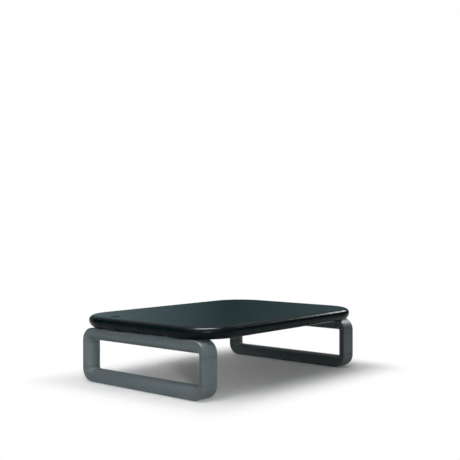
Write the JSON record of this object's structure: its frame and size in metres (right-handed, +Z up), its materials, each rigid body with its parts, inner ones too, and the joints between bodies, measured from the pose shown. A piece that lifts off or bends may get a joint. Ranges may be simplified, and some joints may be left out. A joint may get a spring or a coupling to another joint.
{
  "type": "stackable monitor riser",
  "caption": "Low desktop riser: a rounded dark platform on loop legs that stack from frames, spacers and padded feet, open underneath for storage.",
  "frame": {"origin": "on the desk, under the middle of the platform, at the pads' lower faces", "axes": "+X runs right along the front edge, +Y to the back, +Z up"},
  "size_m": [0.412, 0.293, 0.106],
  "materials": {
    "platform_plastic": "near-black blue-grey moulded plastic, satin gloss, very fine grain",
    "leg_plastic": "mid-grey moulded plastic with a soft satin grain",
    "cover_plastic": "black moulded plastic, fine matt grain",
    "inset_plastic": "black plastic disc, smooth",
    "pad_rubber": "black matt rubber",
    "screw_steel": "dark zinc plated steel"
  },
  "bodies": {
    "platform": {"platform_top": "platform_plastic", "platform_base": "cover_plastic", "round_inset": "inset_plastic", "platform_screws": "screw_steel", "left_upper_frame": "leg_plastic", "right_upper_frame": "leg_plastic", "left_leg_screws": "screw_steel", "right_leg_screws": "screw_steel"},
    "left_front_column": {"left_front_spacer": "leg_plastic"},
    "left_rear_column": {"left_rear_spacer": "leg_plastic"},
    "left_foot": {"left_foot_frame": "leg_plastic", "left_foot_strip": "cover_plastic", "left_foot_screws": "screw_steel", "left_front_pad": "pad_rubber", "left_rear_pad": "pad_rubber"},
    "right_front_column": {"right_front_spacer": "leg_plastic"},
    "right_rear_column": {"right_rear_spacer": "leg_plastic"},
    "right_foot": {"right_foot_frame": "leg_plastic", "right_foot_strip": "cover_plastic", "right_foot_screws": "screw_steel", "right_front_pad": "pad_rubber", "right_rear_pad": "pad_rubber"}
  },
  "joints": [
    {"name": "left_spacer_pull", "type": "slide", "parent": "platform", "child": "left_front_column", "axis": [0, 0, -1], "range_m": [0, 0.016]},
    {"name": "left_rear_spacer_pull", "type": "slide", "parent": "platform", "child": "left_rear_column", "axis": [0, 0, -1], "range_m": [0, 0.016]},
    {"name": "left_foot_pull", "type": "slide", "parent": "left_front_column", "child": "left_foot", "axis": [0, 0, -1], "range_m": [0, 0.016]},
    {"name": "right_spacer_pull", "type": "slide", "parent": "platform", "child": "right_front_column", "axis": [0, 0, -1], "range_m": [0, 0.016]},
    {"name": "right_rear_spacer_pull", "type": "slide", "parent": "platform", "child": "right_rear_column", "axis": [0, 0, -1], "range_m": [0, 0.016]},
    {"name": "right_foot_pull", "type": "slide", "parent": "right_front_column", "child": "right_foot", "axis": [0, 0, -1], "range_m": [0, 0.016]}
  ],
  "couplings": [
    {"joint": "left_rear_spacer_pull", "follows": "left_spacer_pull", "ratio": 1},
    {"joint": "right_rear_spacer_pull", "follows": "right_spacer_pull", "ratio": 1}
  ]
}
